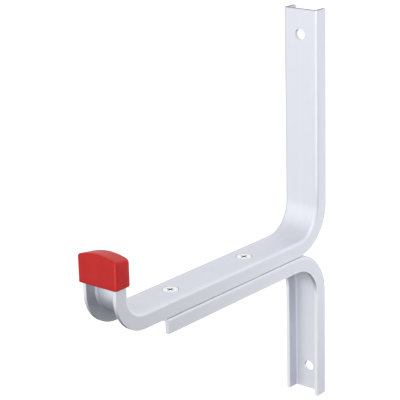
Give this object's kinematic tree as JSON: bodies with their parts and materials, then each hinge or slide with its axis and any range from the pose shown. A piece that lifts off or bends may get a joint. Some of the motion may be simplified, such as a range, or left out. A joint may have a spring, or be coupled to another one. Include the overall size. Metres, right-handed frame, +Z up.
{
  "type": "ladder wall hook",
  "caption": "Fixed wall hook that a ladder hangs on: a bent aluminium channel arm with a capped, upturned tip, bolted to a channel brace under it.",
  "frame": {"origin": "centre of the lower wall hole, on the wall plane (the back face of the lower bracket's web)", "axes": "+X across the channels' width, +Y into the wall (the arm reaches out along -Y), +Z up"},
  "size_m": [0.0342, 0.2391, 0.307],
  "materials": {
    "anodised_aluminium": "satin, silver anodised",
    "red_plastic": "soft gloss, moulded",
    "zinc_plated_steel": "bright zinc",
    "nylon": "matt"
  },
  "bodies": {
    "root": {"upper_bracket": "anodised_aluminium", "lower_bracket": "anodised_aluminium", "hook_cap": "red_plastic", "clamp_screws": "zinc_plated_steel", "clamp_washers": "zinc_plated_steel", "lock_nuts": "zinc_plated_steel", "nut_inserts": "nylon"}
  },
  "joints": []
}
